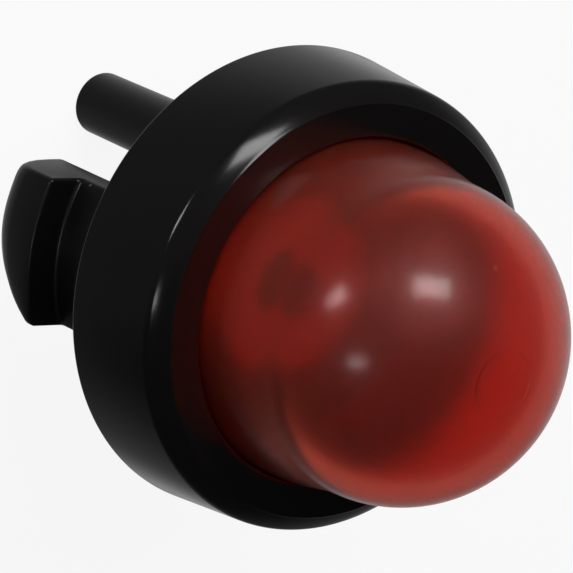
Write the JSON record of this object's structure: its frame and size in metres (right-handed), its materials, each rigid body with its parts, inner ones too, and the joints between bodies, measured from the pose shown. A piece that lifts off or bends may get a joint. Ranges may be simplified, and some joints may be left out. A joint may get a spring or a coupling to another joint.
{
  "type": "fuel primer bulb",
  "caption": "Snap-in fuel primer bulb: a soft red dome held by a black collar, with hooked snap legs and hose nipples behind.",
  "frame": {"origin": "centre of the collar's rear face, which seats on the front of the panel", "axes": "+Z out of the panel along the bulb; the snap legs lie on +X and -X; the inlet nipple lies on -Y"},
  "size_m": [0.028, 0.028, 0.041],
  "materials": {
    "collar_plastic": "satin black moulded nylon",
    "base_plastic": "satin black moulded nylon",
    "bulb_rubber": "translucent red moulded elastomer, satin gloss",
    "valve_rubber": "matt dark moulded elastomer"
  },
  "bodies": {
    "root": {"retainer_collar": "collar_plastic", "primer_dome": "bulb_rubber", "base_body": "base_plastic", "check_valve": "valve_rubber"}
  },
  "joints": []
}
